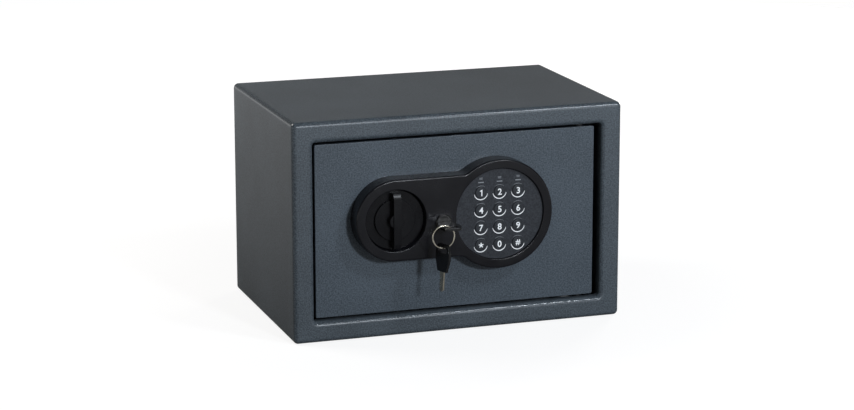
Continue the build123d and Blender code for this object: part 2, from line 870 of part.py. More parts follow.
terminal_x = plunger_x + coil_radius + terminal_reach
terminal_z = (coil_low + coil_high) / 2


def solenoid_coil():
    """The wound coil in its sleeve, with a terminal block on its right."""
    y = door_back + bolt_centre_depth
    coil = post(plunger_x, y, coil_radius, coil_low, coil_high)
    coil += block(plunger_x, terminal_x, y - 3, y + 3, terminal_z - 4, terminal_z + 4)
    return coil - post(plunger_x, y, plunger_radius + plunger_clearance, coil_low - 1, coil_high + 1)


# Keys and ring, drawn with the key's tip towards -Y of the sketch and its head above


def head_outline():
    """The moulded head: shoulders at the neck, widest past the middle, with a wide slot near its end."""
    half = head_width / 2
    neck = head_neck_width / 2
    shape = Polygon(
        (-neck, 0),
        (neck, 0),
        (half, head_length * 0.45),
        (half, head_length * 0.7),
        (neck + 1, head_length),
        (-neck - 1, head_length),
        (-half, head_length * 0.7),
        (-half, head_length * 0.45),
        align=None,
    )
    shape = fillet(shape.vertices().filter_by(lambda v: v.Y > head_length * 0.9), 3.0)
    shape = fillet(shape.vertices().filter_by(lambda v: abs(v.X) > half - 0.01), 3.0)
    slot_middle = head_length - head_end_strip - head_slot_height / 2
    return shape - Pos(0, slot_middle) * SlotOverall(head_slot_width, head_slot_height)


def blade_outline(length):
    """The flat blade: one straight edge and one edge cut to the lock, with a pointed tip."""
    half = blade_width / 2
    outline = [(-half, 3.0), (half, 3.0), (half, -length + half * 0.6), (half * 0.3, -length)]
    outline += [(-half * 0.5, -length + 0.8), (-half, -length + half)]
    blade = Polygon(*outline, align=None)
    bittings = 5
    pitch = (length - blade_width) / bittings
    for number in range(bittings):
        depth = 0.8 + 0.5 * ((number * 2) % 3)
        middle = -4.0 - number * pitch
        notch = Polygon(
            (-half - 1, middle + pitch * 0.48),
            (-half + depth, middle + pitch * 0.18),
            (-half + depth, middle - pitch * 0.18),
            (-half - 1, middle - pitch * 0.48),
            align=None,
        )
        blade -= notch
    return blade


key_plane = Plane(origin=(lock_x, door_front - bow_near, lock_z), x_dir=(1, 0, 0), z_dir=(0, 0, -1))


def key_head(plane):
    """A key's plastic head, moulded round the blade's end."""
    thick = extrude(plane * head_outline(), amount=head_thickness / 2, both=True)
    socket = extrude(plane * Rectangle(blade_width, 6.0), amount=blade_thickness / 2, both=True)
    return thick - socket


def key_blade(plane, length):
    """A key's metal blade."""
    return extrude(plane * blade_outline(length), amount=blade_thickness / 2, both=True)


def key_ring():
    """The wire ring that hangs on the key in the lock."""
    middle = Plane(origin=(ring_pivot_x, door_front - ring_height, ring_z), x_dir=(1, 0, 0), z_dir=(0, -1, 0))
    return middle * Torus(ring_mean_radius, ring_wire_radius)


def spare_plane():
    """Where the spare key hangs: head up, turned edge to the front, its tip a little to the left."""
    strip_low = wire_z + ring_wire_radius + ring_slack
    neck_drop = strip_low + head_end_strip - head_length - wire_z
    yaw = math.radians(spare_yaw)
    across = (math.sin(yaw), -math.cos(yaw), 0)
    flat = (-math.cos(yaw), -math.sin(yaw), 0)
    upright = Plane(origin=(0, 0, neck_drop), x_dir=across, z_dir=flat)
    hanging = Location((ring_pivot_x, door_front - ring_height, wire_z), (0, spare_lean, 0))
    return Plane(hanging * upright.location)


# Inner cover, power and reset

cells_across = 4
cell_room = 2 * (cell_radius + cell_gap)
tray_half_x = cells_across * cell_room / 2 + tray_wall
tray_half_z = (cell_length + 4.0) / 2 + tray_wall
tray_far = cover_inside
tray_near = tray_far - cell_room - tray_wall
hatch_near = cover_depth + hatch_gap
hatch_far = hatch_near + hatch_thickness
rail_far = hatch_far + rail_width
hatch_half_x = tray_half_x + hatch_margin
hatch_half_z = tray_half_z + hatch_margin
standoff_places = [
    (x, z)
    for x in (cover_left + standoff_inset, cover_right - standoff_inset / 1.2)
    for z in (cover_low + standoff_inset / 1.5, cover_high - standoff_inset / 1.5)
]


def cover_standoffs():
    """Posts on the door that carry the inner cover."""
    ring_places = [disc(x, z, standoff_radius) - disc(x, z, cover_screw_radius) for x, z in standoff_places]
    return Compound(children=[sunk(ring, 0, cover_inside) for ring in ring_places])


def cover_screws():
    """Screws that hold the inner cover to its posts."""
    screws = []
    for x, z in standoff_places:
        screw = sunk(disc(x, z, cover_screw_radius), cover_inside - 6, cover_depth)
        head = sunk(disc(x, z, 1.8 * cover_screw_radius), cover_depth, cover_depth + 2)
        head -= sunk(plate(x - 0.5, x + 0.5, z - 2.4, z + 2.4), cover_depth + 1, cover_depth + 3)
        head -= sunk(plate(x - 2.4, x + 2.4, z - 0.5, z + 0.5), cover_depth + 1, cover_depth + 3)
        screws.append(screw + head)
    return Compound(children=screws)


def inner_cover():
    """The box over the mechanism, with the battery opening, its rails and the reset hole."""
    outline = rounded(cover_left, cover_right, cover_low, cover_high, cover_corner)
    cover = sunk(outline, 0, cover_depth)
    rear = cover.faces().sort_by(Axis.Y)[-1].edges()
    cover = fillet(rear, 2.5)
    cover -= sunk(offset(outline, -cover_wall), -1, cover_inside)
    for z in bolt_zs:
        y = door_back + bolt_centre_depth
        cover -= bar_along_x(y, z, bolt_radius + 0.6, cover_left - 1, cover_left + 2 * cover_wall)
    mouth_x = tray_half_x - tray_wall
    mouth_z = tray_half_z - tray_wall
    mouth = plate(tray_x - mouth_x, tray_x + mouth_x, tray_z - mouth_z, tray_z + mouth_z)
    cover -= sunk(mouth, cover_inside - 1, cover_depth + 1)
    cover -= sunk(disc(reset_x, reset_z, reset_radius + reset_gap), cover_inside - 1, cover_depth + 1)
    for x, z in standoff_places:
        cover -= sunk(disc(x, z, cover_screw_radius), cover_inside - 1, cover_depth + 1)
    low = tray_z - hatch_half_z - hatch_gap
    for way in (-1, 1):
        inner = tray_x + way * (hatch_half_x + hatch_gap)
        outer = inner + way * rail_width
        lip = inner - way * rail_width
        high = tray_z + hatch_half_z
        wall = plate(min(inner, outer), max(inner, outer), low - rail_width, high)
        hook = plate(min(lip, outer), max(lip, outer), low - rail_width, high)
        cover += sunk(wall, cover_depth - 1, rail_far)
        cover += sunk(hook, hatch_far + hatch_gap, rail_far)
    stop = plate(tray_x - hatch_half_x - 1, tray_x + hatch_half_x + 1, low - rail_width, low)
    cover += sunk(stop, cover_depth - 1, rail_far)
    for way in (-1, 1):
        post_shape = disc(reset_x, reset_z + way * switch_post_z, switch_post_radius)
        cover += sunk(post_shape, switch_back - 2, cover_inside + 0.5)
    return cover


def battery_tray():
    """The open tray that holds four cells side by side."""
    outer = plate(tray_x - tray_half_x, tray_x + tray_half_x, tray_z - tray_half_z, tray_z + tray_half_z)
    inner = offset(outer, -tray_wall)
    tray = sunk(outer, tray_near, tray_far) - sunk(inner, tray_near + tray_wall, tray_far + 1)
    for number in range(1, cells_across):
        x = tray_x - tray_half_x + tray_wall + number * cell_room
        rib = plate(x - 0.5, x + 0.5, tray_z - tray_half_z + 1, tray_z + tray_half_z - 1)
        tray += sunk(rib, tray_near + 1, tray_near + 4)
    return tray


def battery_cells():
    """Four cells, every other one turned over."""
    cells = []
    y = door_back + tray_near + tray_wall + cell_radius + cell_gap
    for number in range(cells_across):
        x = tray_x - tray_half_x + tray_wall + (number + 0.5) * cell_room
        way = 1 if number % 2 else -1
        end = tray_z + way * cell_length / 2
        cell = post(x, y, cell_radius, tray_z - cell_length / 2, tray_z + cell_length / 2)
        cell = fillet(cell.edges().filter_by(GeomType.CIRCLE), 0.6)
        cells.append(cell + post(x, y, 2.7, min(end, end + way * 1.5), max(end, end + way * 1.5)))
    return Compound(children=cells)


def battery_cover():
    """The sliding hatch over the cells, with finger ribs."""
    shape = rounded(
        tray_x - hatch_half_x, tray_x + hatch_half_x, tray_z - hatch_half_z, tray_z + hatch_half_z, 1.0
    )
    hatch = sunk(shape, hatch_near, hatch_far)
    for number in range(5):
        z = tray_z + hatch_half_z - 8 - number * 3
        hatch += sunk(plate(tray_x - 9, tray_x + 9, z - 0.6, z + 0.6), hatch_far - 0.5, hatch_far + 0.8)
    return hatch


def reset_button():
    """The button that lets a new code be set."""
    button = sunk(disc(reset_x, reset_z, reset_radius), button_near, cover_depth + reset_rise)
    button = fillet(button.edges().sort_by(Axis.Y)[-1], 0.8)
    skirt = disc(reset_x, reset_z, reset_radius + reset_skirt)
    return button + sunk(skirt, button_near, cover_inside - reset_gap)


button_near = cover_inside - reset_skirt_height
switch_far = button_near - reset_travel - 0.3
switch_back = cover_inside - 12.0
switch_half_height = 10.0
switch_half_width = 6.0
switch_post_z = 7.5
switch_post_radius = 2.0


def reset_switch():
    """The small switch behind the button, on two posts of the cover."""
    low = reset_z - switch_half_height
    high = reset_z + switch_half_height
    body = plate(reset_x - switch_half_width, reset_x + switch_half_width, low, high)
    for way in (-1, 1):
        body -= disc(reset_x, reset_z + way * switch_post_z, switch_post_radius)
    switch = sunk(body, switch_back, switch_far - 3)
    return switch + sunk(disc(reset_x, reset_z, reset_radius / 2), switch_far - 4, switch_far)


def cable_grommet():
    """The rubber ring in the door where the leads pass."""
    ring = disc(grommet_x, grommet_z, grommet_radius) - disc(grommet_x, grommet_z, grommet_bore)
    lip = disc(grommet_x, grommet_z, grommet_radius + 1.5) - disc(grommet_x, grommet_z, grommet_bore)
    grommet = raised(ring, -door_thickness, 0) + raised(lip, 0, 1.2)
    return grommet + sunk(lip, 0, 1.2)


def lead(points):
    """A round lead along straight runs, each corner rounded as widely as its runs allow."""
    spots = [Vector(*p) for p in points]
    radii = []
    for before, here, after in zip(spots, spots[1:], spots[2:]):
        turn = math.radians((here - before).get_angle(after - here))
        shorter = min((here - before).length, (after - here).length)
        radii.append(0.45 * shorter / math.tan(turn / 2))
    path = FilletPolyline(*points, radius=radii)
    start = Plane(origin=path @ 0, z_dir=path % 0)
    tube = sweep(start * Circle(lead_radius), path=path)
    share = tube.volume / (math.pi * lead_radius**2 * path.length)
    print("lead", round(path.length, 1), "mm, radii", [round(r, 1) for r in radii])
    print("its volume over section times length", round(share, 4))
    return tube


def wiring_loom():
    """The leads from the board to the cells, the solenoid and the reset switch."""
    start = door_front - board_bottom + 4.0
    tray_face = door_back + tray_near
    coil_y = door_back + bolt_centre_depth
    switch_y = door_back + switch_back + 2.5
    to_cells = [
        (grommet_x + 2.8, start, grommet_z + 1),
        (grommet_x + 2.8, -80, grommet_z + 1),
        (grommet_x + 17, -80, grommet_z + 2),
        (grommet_x + 17, tray_face, grommet_z + 2),
    ]
    to_coil = [
        (grommet_x - 2.8, start, grommet_z),
        (grommet_x - 2.8, -84, grommet_z),
        (12, -79, 97),
        (4, -79, 116),
        (-5, coil_y, terminal_z),
        (terminal_x, coil_y, terminal_z),
    ]
    to_switch = [
        (grommet_x, start, grommet_z - 2.5),
        (grommet_x, -81, grommet_z - 2.5),
        (34, -78, 102),
        (24, -77, 124),
        (12, -75, 142),
        (2, switch_y, reset_z),
        (reset_x + switch_half_width, switch_y, reset_z),
    ]
    return Compound(children=[lead(to_cells), lead(to_coil), lead(to_switch)])


def all_nodes():
    """Every piece by its name."""
    nodes = {
        "body_wrap": body_wrap(),
        "back_panel": back_panel(),
        "floor_mat": floor_mat(),
        "hinge_lugs": hinge_lugs(),
        "hinge_pins": hinge_pins(),
        "door_plate": door_plate(),
        "hinge_brackets": hinge_brackets(),
        "hinge_sleeves": hinge_sleeves(),
        "bolt_guide": bolt_guide(),
        "guide_studs": guide_studs(),
        "cover_standoffs": cover_standoffs(),
        "inner_cover": inner_cover(),
        "cover_screws": cover_screws(),
        "escutcheon": escutcheon(),
        "panel_screws": panel_fixings(),
        "keypad_faceplate": keypad_faceplate(),
        "keypad_mat": keypad_mat(),
        "keypad_board": keypad_board(),
        "board_components": board_components(),
        "indicator_windows": indicator_windows(),
        "battery_tray": battery_tray(),
        "battery_cells": battery_cells(),
        "battery_cover": battery_cover(),
        "solenoid_frame": solenoid_frame(),
        "solenoid_coil": solenoid_coil(),
        "lock_cylinder": lock_cylinder(),
        "lock_nut": lock_nut(),
        "knob_bush": knob_bush(),
        "cable_grommet": cable_grommet(),
        "wiring_loom": wiring_loom(),
        "reset_switch": reset_switch(),
        "reset_button": reset_button(),
        "knob": knob(),
        "knob_shaft": knob_shaft(),
        "knob_clip": knob_clip(),
        "knob_cam": knob_cam(),
        "carriage_plate": carriage_plate(),
        "locking_bolts": locking_bolts(),
        "bolt_pins": bolt_pins(),
        "lock_plug": lock_plug(),
        "lock_arm": lock_arm(),
        "key_blade": key_blade(key_plane, blade_length),
        "key_head": key_head(key_plane),
        "blocker_plunger": blocker_plunger(),
        "blocker_spring": blocker_spring(),
        "key_ring": key_ring(),
        "spare_key_blade": key_blade(spare_plane(), spare_blade_length),
        "spare_key_head": key_head(spare_plane()),
    }
    for name, x, z in key_places():
        nodes[name] = keypad_key(x, z)
    return nodes


os.makedirs("parts", exist_ok=True)
for name, solid in all_nodes().items():
    export_step(solid, "parts/" + name + ".step")
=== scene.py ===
# %% [markdown]
# # A small electronic safe
# The object is a folded steel safe with a keypad, a turning knob and an override key that stands in its
# lock. Its exact shape comes from the imported model, so this lesson only dresses it: it gives every
# surface a finish, adds the print, the ring and the felt, and sets up the studio. All lengths are metres
# in one frame: X to the right, Y to the back, Z up.

# %% Load the frame
import math
import bpy
import bmesh
from mathutils import Matrix, Vector, noise
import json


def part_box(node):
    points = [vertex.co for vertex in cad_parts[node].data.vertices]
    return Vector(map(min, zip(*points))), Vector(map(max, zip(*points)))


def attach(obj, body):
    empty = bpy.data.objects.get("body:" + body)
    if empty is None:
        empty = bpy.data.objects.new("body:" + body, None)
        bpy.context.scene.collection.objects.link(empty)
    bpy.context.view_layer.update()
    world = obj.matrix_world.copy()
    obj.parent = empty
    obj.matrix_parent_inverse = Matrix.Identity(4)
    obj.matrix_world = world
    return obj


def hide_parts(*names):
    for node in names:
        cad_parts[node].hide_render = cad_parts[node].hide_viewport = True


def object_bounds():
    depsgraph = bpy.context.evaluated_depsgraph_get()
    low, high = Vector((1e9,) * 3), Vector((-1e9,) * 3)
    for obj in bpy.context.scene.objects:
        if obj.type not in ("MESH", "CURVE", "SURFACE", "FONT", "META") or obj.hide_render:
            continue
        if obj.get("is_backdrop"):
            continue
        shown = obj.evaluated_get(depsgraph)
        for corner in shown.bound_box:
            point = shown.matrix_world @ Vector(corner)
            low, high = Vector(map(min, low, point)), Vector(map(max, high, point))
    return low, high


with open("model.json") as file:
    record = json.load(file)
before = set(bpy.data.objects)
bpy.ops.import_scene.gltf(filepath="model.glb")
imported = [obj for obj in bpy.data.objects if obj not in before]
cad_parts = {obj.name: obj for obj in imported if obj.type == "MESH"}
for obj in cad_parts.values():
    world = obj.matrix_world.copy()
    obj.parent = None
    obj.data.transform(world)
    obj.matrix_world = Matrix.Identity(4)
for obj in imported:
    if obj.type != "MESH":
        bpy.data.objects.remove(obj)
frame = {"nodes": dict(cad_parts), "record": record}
cad_low, cad_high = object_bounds()
nodes = frame["nodes"]

# %% [markdown]
# Sizes on the real object are easiest to read in millimetres, and Blender works in metres, so one
# small value turns one into the other. A noise is set by how often it repeats in a metre, which is
# 1000 over its grain in mm. A point on the door is written as an X, a Z and a height in front of the
# door's face, which is how a panel maker would write it.

# %% Millimetres and places on the door
MM = 0.001
PER_METRE = 1000
DOOR_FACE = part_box("door_plate")[0].y


def on_door(x, z, height):
    """Turns a flat drawing in X and Y so that it faces out of the door, at that place in mm."""
    place = Vector((x * MM, DOOR_FACE - height * MM, z * MM))
    return Matrix.Translation(place) @ Matrix.Rotation(math.radians(90), 4, "X")


print("door face at y", round(DOOR_FACE, 4))

# %% [markdown]
# ## The camera
# The photograph was taken from a little to the left and from above with a long lens. The camera
# could be placed by eye, but the cabinet is a plain box of known size, so its seven visible
# corners fix the lens, the place and the angles. No shift and no depth of field are needed.

# %% Camera at the photograph's angle
camera_data = bpy.data.cameras.new("long_lens")
camera_data.sensor_width = 36.0
camera_data.lens = 109.9
camera = bpy.data.objects.new("camera", camera_data)
bpy.context.scene.collection.objects.link(camera)
camera.location = (-0.752, -2.237, 0.653)
pitch_down, yaw_right, roll = 13.34, 18.65, 0.05
turned = (90 - pitch_down, roll, -yaw_right)
camera.rotation_euler = tuple(math.radians(angle) for angle in turned)
bpy.context.scene.camera = camera
bpy.context.scene.view_settings.view_transform = "Standard"
print("camera", tuple(camera.location), "lens", camera_data.lens)

# %% [markdown]
# ## Tools for the finishes
# Every finish below is a node tree. Five helpers keep them short: one turns a colour that is
# written as on a paint card into the linear numbers that the shader wants, one adds a node with
# its settings and links, and one starts a material whose even values sit on the shader itself.
# The last two add what nearly every finish has: a blend of two colours, and a bump.

# %% Colour, node and material helpers
def linear(hex_colour):
    """An sRGB colour such as 48525C as linear red, green, blue and alpha."""
    parts = [int(hex_colour[i:i + 2], 16) / 255 for i in (0, 2, 4)]
    return [c / 12.92 if c <= 0.04045 else ((c + 0.055) / 1.055) ** 2.4 for c in parts] + [1.0]


def add(tree, kind, inputs=None, **settings):
    """Adds a node: settings are its properties, and inputs holds values or other nodes' sockets."""
    made = tree.nodes.new(kind)
    for name, value in settings.items():
        setattr(made, name, value)
    for name, value in (inputs or {}).items():
        if isinstance(value, bpy.types.NodeSocket):
            tree.links.new(value, made.inputs[name])
        else:
            made.inputs[name].default_value = value
    return made


def start_material(name, colour, roughness, **sockets):
    """A new material and its tree, shader and object coordinates."""
    material = bpy.data.materials.new(name)
    material.use_nodes = True
    tree = material.node_tree
    shader = tree.nodes["Principled BSDF"]
    shader.inputs["Base Color"].default_value = linear(colour)
    shader.inputs["Roughness"].default_value = roughness
    for socket, value in sockets.items():
        shader.inputs[socket.replace("_", " ")].default_value = value
    place = add(tree, "ShaderNodeTexCoord").outputs["Object"]
    return material, tree, shader, place


def blend(tree, share, dark, light):
    """The colour that lies that share of the way from dark to light."""
    mix = add(tree, "ShaderNodeMix", {0: share, 6: linear(dark), 7: linear(light)}, data_type="RGBA")
    return mix.outputs[2]


def coat(tree, shader, colour, height, depth):
    """Links a colour to the shader, and a bump that rises depth mm where height is one."""
    tree.links.new(colour, shader.inputs["Base Color"])
    bump = add(tree, "ShaderNodeBump", {"Height": height, "Distance": depth * MM})
    tree.links.new(bump.outputs["Normal"], shader.inputs["Normal"])


print("paint card 48525C is linear", [round(c, 3) for c in linear("48525C")])

# %% [markdown]
# Most parts of a safe are either moulded or coated, and both show the same three things: a grain
# that you feel, patches where the colour drifts, and a gloss that drifts with them. A picture of
# the surface could be mapped on, but noise on the object's own coordinates needs no picture, never
# stretches and keeps its real scale on every piece. The helper takes each size in millimetres.

# %% One helper for grain, drift and gloss
def grained(name, dark, light, patch, roughness, grain, depth, stretch=(1, 1, 1),
            gloss_drift=0.06, **sockets):
    """A material with colour patches and a bumpy grain: patch, grain and depth are in mm."""
    material, tree, shader, place = start_material(name, light, roughness, **sockets)
    turned = add(tree, "ShaderNodeMapping", {"Vector": place, "Scale": stretch}).outputs["Vector"]
    drift = add(tree, "ShaderNodeTexNoise", {
        "Vector": turned, "Scale": PER_METRE / patch, "Detail": 3.0}).outputs["Fac"]
    gloss = add(tree, "ShaderNodeMapRange", {
        "Value": drift, "From Min": 0.3, "From Max": 0.7,
        "To Min": roughness - gloss_drift, "To Max": roughness + gloss_drift})
    tree.links.new(gloss.outputs["Result"], shader.inputs["Roughness"])
    fine = add(tree, "ShaderNodeTexNoise", {
        "Vector": turned, "Scale": PER_METRE / grain, "Detail": 2.0}).outputs["Fac"]
    coat(tree, shader, blend(tree, drift, dark, light), fine, depth)
    return material


# %% [markdown]
# ## Powder coat
# The cabinet and the door are steel with a baked epoxy-polyester powder coat. The powder melts into a
# pebbled skin, orange peel, whose pebbles are near a millimetre across, and that skin breaks the light
# into a fine speckle. The pebbles are drawn at 1.3 mm, a little coarse, so that they show from a step
# away, over a faint drift of the colour that is 60 mm wide. A bump does this well, as the pebbles are far
# too low to change the outline. The same pebbles also lighten and darken the colour, so the speckle of
# light is painted in as well. On a bend the melted powder is drawn thin and smooth, so there the gloss
# rises: a point is on a bend where its normal lies along no axis.

# %% Powder-coated steel
PEBBLE, PEBBLE_DEPTH, DRIFT = 1.3, 0.12, 60
PAINTED_SPECKLE_SHARE = 0.8
FLAT_ROUGHNESS, BEND_ROUGHNESS = 0.38, 0.15


def powder_coat(name, dark, light, gloss):
    """Baked powder coat: pebbles, a painted speckle of light over a drift of the colour, and a satin
    gloss.
    """
    material, tree, shader, place = start_material(name, light, FLAT_ROUGHNESS,
                                                   Specular_IOR_Level=gloss)
    pebble = add(tree, "ShaderNodeTexNoise", {
        "Vector": place, "Scale": PER_METRE / PEBBLE, "Detail": 2.0, "Roughness": 0.6}).outputs["Fac"]
    broad = add(tree, "ShaderNodeTexNoise", {
        "Vector": place, "Scale": PER_METRE / DRIFT, "Detail": 2.0})
    # The pebbles' share of the colour is a painted speckle of light; the broad noise is the colour's own
    # drift.
    share = add(tree, "ShaderNodeMath", {0: pebble, 1: PAINTED_SPECKLE_SHARE}, operation="MULTIPLY")
    both = add(tree, "ShaderNodeMath", {
        0: broad.outputs["Fac"], 1: 1 - PAINTED_SPECKLE_SHARE, 2: share.outputs[0]}, operation="MULTIPLY_ADD")
    spread = add(tree, "ShaderNodeMapRange", {
        "Value": both.outputs[0], "From Min": 0.38, "From Max": 0.62})
    coat(tree, shader, blend(tree, spread.outputs["Result"], dark, light), pebble, PEBBLE_DEPTH)
    facing = add(tree, "ShaderNodeTexCoord").outputs["Normal"]
    along = add(tree, "ShaderNodeSeparateXYZ", {
        0: add(tree, "ShaderNodeVectorMath", {0: facing}, operation="ABSOLUTE").outputs[0]}).outputs
    wider = add(tree, "ShaderNodeMath", {0: along["X"], 1: along["Y"]}, operation="MAXIMUM")
    flat = add(tree, "ShaderNodeMath", {0: wider.outputs[0], 1: along["Z"]}, operation="MAXIMUM")
    satin = add(tree, "ShaderNodeMapRange", {
        "Value": flat.outputs[0], "From Min": 0.86, "From Max": 0.995,
        "To Min": BEND_ROUGHNESS, "To Max": FLAT_ROUGHNESS})
    tree.links.new(satin.outputs["Result"], shader.inputs["Roughness"])
    return material


finish_of = {
    "cabinet_paint": powder_coat("powder_coat_blue_grey_cabinet", "343A3F", "4E565C", 0.34),
    "door_paint": powder_coat("powder_coat_blue_grey_door", "32393F", "4C555D", 0.3),
}
print("finishes", len(finish_of))

# %% [markdown]
# ## Moulded plastics and rubber
# The panel and the knob are black ABS from a mould with a fine spark-eroded skin, which is why
# they look satin and nearly black and still catch a thin line of light on every rounded edge. The
# keypad's round plate is dark grey with a coarser cast texture. Nylon is milky, the elastomer mat
# is dull, and the reset button and the key heads come from polished moulds, so they are glossy.

# %% Plastic and rubber finishes
finish_of |= {
    "panel_plastic": grained("abs_black_satin_panel", "0A0A0D", "101014", 30, 0.24, 0.9, 0.012,
                             Specular_IOR_Level=0.26),
    "knob_plastic": grained("abs_black_satin_knob", "0A0A0C", "111113", 20, 0.27, 0.9, 0.012,
                            Specular_IOR_Level=0.14),
    "keypad_plastic": grained("abs_dark_grey_cast_texture", "121316", "3D4045", 1.5, 0.46, 1.2, 0.12,
                              Specular_IOR_Level=0.16),
    "key_cap": grained("abs_dark_grey_key", "1B1D20", "35383C", 1.4, 0.4, 1.1, 0.04,
                       Specular_IOR_Level=0.2),
    "inner_plastic": grained("abs_black_moulded_inside", "121214", "1C1C1F", 40, 0.5, 1.1, 0.03,
                             Specular_IOR_Level=0.2),
    "component_plastic": grained("epoxy_black_component", "0B0B0C", "151516", 6, 0.55, 0.6, 0.01),
    "nylon": grained("nylon_natural", "CFCBBE", "E2DFD3", 12, 0.45, 0.9, 0.01, Subsurface_Weight=0.15,
                     Subsurface_Scale=0.002),
    "elastomer": grained("silicone_rubber_dark", "1A1A1B", "242425", 10, 0.7, 0.8, 0.02),
    "window_plastic": grained("acrylic_smoked_light_pipe", "505357", "6A6E73", 3, 0.2, 0.8, 0.01,
                              Coat_Weight=0.5, Coat_Roughness=0.1),
    "key_plastic": grained("abs_black_polished_key_head", "050506", "0A0A0B", 12, 0.22, 1.5, 0.02,
                           gloss_drift=0.05),
    "reset_plastic": grained("abs_red_polished", "8E1512", "A81B16", 8, 0.25, 1.2, 0.008),
    "lead_jacket": grained("pvc_red_lead", "7C1210", "99201B", 15, 0.38, 1.2, 0.01),
}
print("finishes", len(finish_of))

# %% [markdown]
# ## Metals
# Zinc plate is a thin bluish coat on pressed steel, so it shows faint rolling lines along the
# sheet and dull patches. A locking bolt is turned in a lathe, so its lines run round it: the noise
# is squeezed along X, the bolt's axis. Black nickel on the lock is dark with hard glints, the ring's
# nickel is bright and a little warm, and a key blank is nickel silver with the scratches of a
# pocket. Metals keep the default IOR.

# %% Metal finishes
finish_of |= {
    "zinc_steel": grained("zinc_plate_on_rolled_steel", "8E9499", "B8BDC1", 14, 0.36, 1.0, 0.012,
                          stretch=(0.15, 1, 1), Metallic=1.0),
    "screw_steel": grained("zinc_plate_on_screws", "9C9F9F", "C3C5C2", 5, 0.3, 0.7, 0.01,
                           Metallic=1.0),
    "bolt_steel": grained("turned_bright_steel", "A7A9AB", "D0D1D2", 2.0, 0.24, 0.5, 0.01,
                          stretch=(1, 0.05, 0.05), Metallic=1.0),
    "nickel": grained("black_nickel_plate_on_lock", "1C1C1E", "4A4947", 8, 0.18, 1.1, 0.01,
                      Metallic=1.0),
    "key_brass": grained("nickel_silver_key_blank", "9A9482", "E4DCCB", 2.5, 0.22, 0.8, 0.05,
                         stretch=(1, 1, 0.3), Metallic=1.0),
    "ring_steel": grained("nickel_plate_on_spring_wire", "8A8474", "DDD7C8", 5, 0.2, 1.0, 0.01,
                          Metallic=1.0),
}
print("finishes", len(finish_of))

# %% [markdown]
# ## Felt, circuit board, coil and cells
# These four are told by their pattern. Needled felt is matted fibre, so its noise is stretched one
# way and its surface is fuzzy: sheen does the fuzz. A circuit board has copper tracks under green
# lacquer, a brick pattern at their real 2.5 mm pitch. Wound wire is a wave with the wire's pitch,
# under amber tape. A cell has a dark printed jacket with a plain copper-coloured band.

# %% Needled felt
FIBRE, FIBRE_DEPTH = 0.9, 0.35
felt, tree, shader, place = start_material(
    "needled_polyester_felt", "2A2A2D", 0.95, Sheen_Weight=0.35, Sheen_Roughness=0.6,
    Specular_IOR_Level=0.1)
laid = add(tree, "ShaderNodeMapping", {
    "Vector": place, "Rotation": (0, 0, 0.4), "Scale": (0.35, 1, 1)})
fibres = add(tree, "ShaderNodeTexNoise", {
    "Vector": laid.outputs[0], "Scale": PER_METRE / FIBRE, "Detail": 5.0, "Roughness": 0.7,
    "Distortion": 1.2}).outputs["Fac"]
coat(tree, shader, blend(tree, fibres, "18181A", "3C3C40"), fibres, FIBRE_DEPTH)
finish_of["floor_mat"] = felt

# %% Circuit board
TRACK, TRACK_PITCH, TRACK_LENGTH, TRACK_DEPTH = 0.25, 2.5, 9, 0.03
board, tree, shader, place = start_material("solder_mask_green_on_glass_epoxy", "0F4A2C", 0.3,
                                            Coat_Weight=0.4)
upright = add(tree, "ShaderNodeMapping", {"Vector": place, "Rotation": (math.radians(90), 0, 0)})
tracks = add(tree, "ShaderNodeTexBrick", {
    "Vector": upright.outputs[0], "Scale": 1.0, "Mortar Size": TRACK * MM,
    "Brick Width": TRACK_LENGTH * MM, "Row Height": TRACK_PITCH * MM,
    "Color1": linear("0D4327"), "Color2": linear("0F4C2D"), "Mortar": linear("2B7A45")})
coat(tree, shader, tracks.outputs["Color"], tracks.outputs["Fac"], TRACK_DEPTH)
finish_of["circuit_board"] = board

# %% Wound coil
COIL_WIRE, COIL_DEPTH = 0.5, 0.12
WAVES_IN_A_UNIT = 20 / (2 * math.pi)
coil, tree, shader, place = start_material("copper_winding_under_amber_tape", "8A4A1A", 0.3,
                                           Coat_Weight=0.8, Coat_Roughness=0.15)
turns = add(tree, "ShaderNodeTexWave", {
    "Vector": place, "Scale": 1 / WAVES_IN_A_UNIT / (COIL_WIRE * MM), "Distortion": 0.4},
    bands_direction="Z").outputs["Fac"]
coat(tree, shader, blend(tree, turns, "54280F", "B4662A"), turns, COIL_DEPTH)
finish_of["coil_tape"] = coil

# %% Cell jackets
cell, tree, shader, place = start_material("printed_pvc_cell_jacket", "222327", 0.28, Coat_Weight=0.3)
cell_low, cell_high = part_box("battery_cells")
height = add(tree, "ShaderNodeSeparateXYZ", {"Vector": place}).outputs["Z"]
bands = add(tree, "ShaderNodeValToRGB", {0: add(tree, "ShaderNodeMapRange", {
    "Value": height, "From Min": cell_low.z, "From Max": cell_high.z}).outputs["Result"]})
stops = bands.color_ramp.elements
bands.color_ramp.interpolation = "CONSTANT"
stops[0].color = linear("B9BBBD")
for share_of_height, colour in ((0.05, "202125"), (0.68, "A8622F"), (0.9, "202125"), (0.95, "B9BBBD")):
    stops.new(share_of_height).color = linear(colour)
stops.remove(stops[-1])
tree.links.new(bands.outputs["Color"], shader.inputs["Base Color"])
finish_of["cell_jacket"] = cell
print("finishes", len(finish_of))
